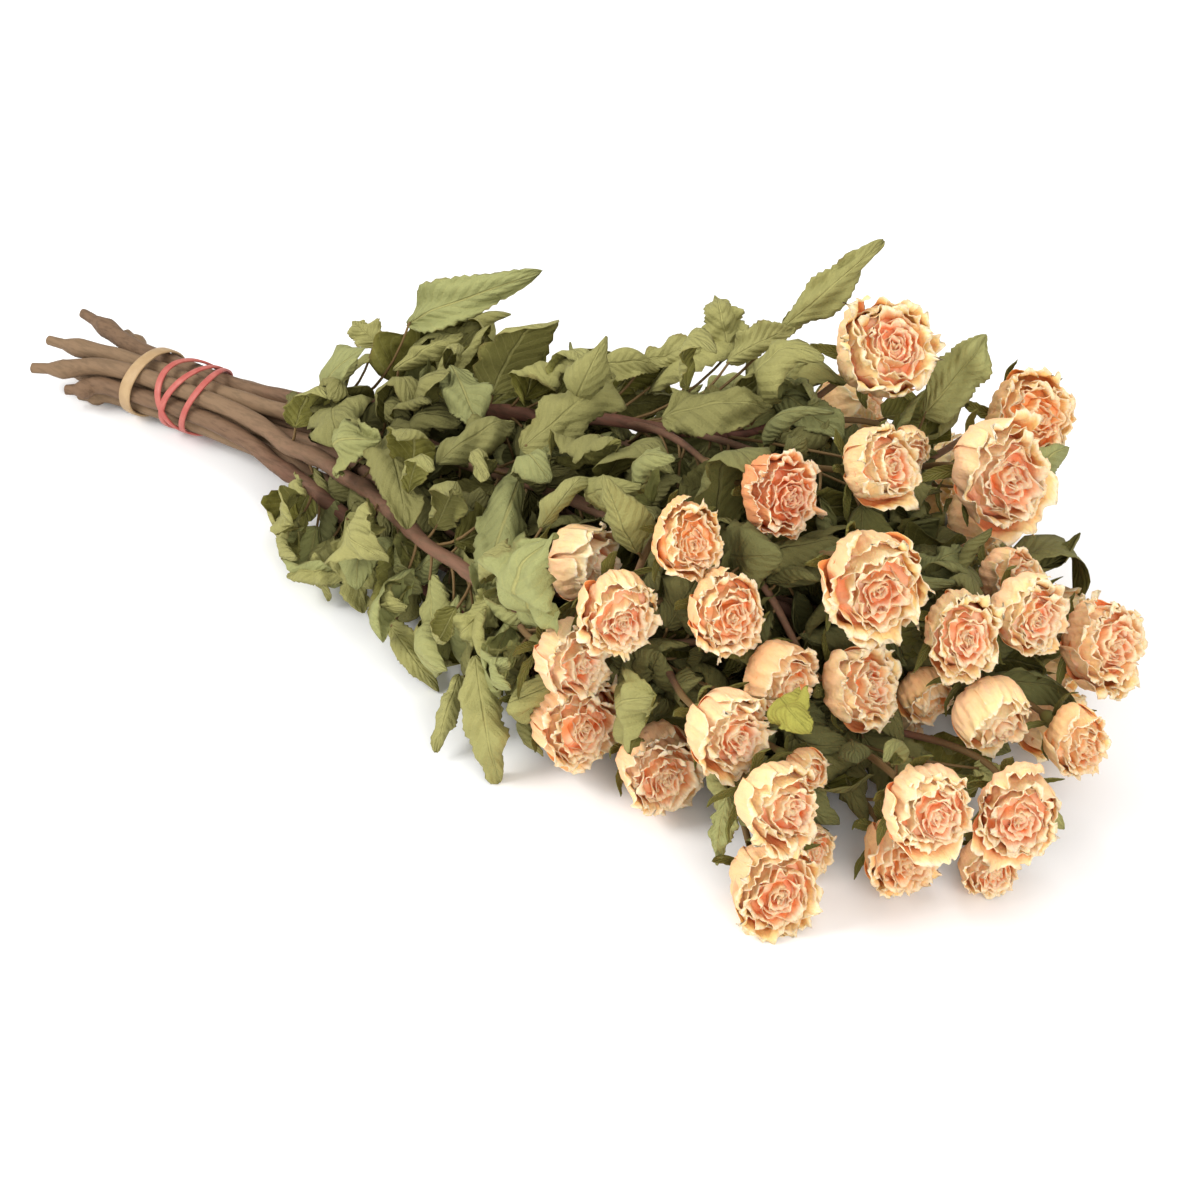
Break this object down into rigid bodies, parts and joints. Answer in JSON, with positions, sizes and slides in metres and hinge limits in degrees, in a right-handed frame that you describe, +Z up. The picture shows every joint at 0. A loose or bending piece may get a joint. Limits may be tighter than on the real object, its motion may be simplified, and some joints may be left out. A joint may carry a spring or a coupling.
{
  "type": "bunch of dried roses",
  "caption": "Bunch of dried spray roses with cream and peach heads, curled leaves and woody stems held by two rubber bands, lying down.",
  "frame": {"origin": "middle of the bunch's footprint, on the surface it lies on", "axes": "+X along the bunch from the cut ends to the roses, +Z up"},
  "size_m": [0.5374, 0.2458, 0.1427],
  "materials": {
    "leafy_stem": "dried sage-green leaves on matt red-brown woody stems",
    "petals": "dry, crinkled, matt petals, cream at the rims and peach in the folds",
    "natural_rubber": "smooth natural rubber with a slight sheen",
    "red_rubber": "smooth red rubber with a slight sheen"
  },
  "bodies": {
    "root": {"leafy_stem_01": "leafy_stem", "leafy_stem_02": "leafy_stem", "leafy_stem_03": "leafy_stem", "leafy_stem_04": "leafy_stem", "leafy_stem_05": "leafy_stem", "leafy_stem_06": "leafy_stem", "leafy_stem_07": "leafy_stem", "leafy_stem_08": "leafy_stem", "leafy_stem_09": "leafy_stem", "leafy_stem_10": "leafy_stem", "rose_01": "petals", "rose_02": "petals", "rose_03": "petals", "rose_04": "petals", "rose_05": "petals", "rose_06": "petals", "rose_07": "petals", "rose_08": "petals", "rose_09": "petals", "rose_10": "petals", "rose_11": "petals", "rose_12": "petals", "rose_13": "petals", "rose_14": "petals", "rose_15": "petals", "rose_16": "petals", "rose_17": "petals", "rose_18": "petals", "rose_19": "petals", "rose_20": "petals", "rose_21": "petals", "rose_22": "petals", "rose_23": "petals", "rose_24": "petals", "rose_25": "petals", "rose_26": "petals", "rose_27": "petals", "rose_28": "petals", "rose_29": "petals", "rose_30": "petals", "rose_31": "petals", "rose_32": "petals", "rose_33": "petals", "rose_34": "petals", "rose_35": "petals", "rose_36": "petals", "rose_37": "petals", "rose_38": "petals", "rose_39": "petals", "rose_40": "petals", "rose_41": "petals", "rubber_band_natural": "natural_rubber", "rubber_band_red": "red_rubber"}
  },
  "joints": []
}
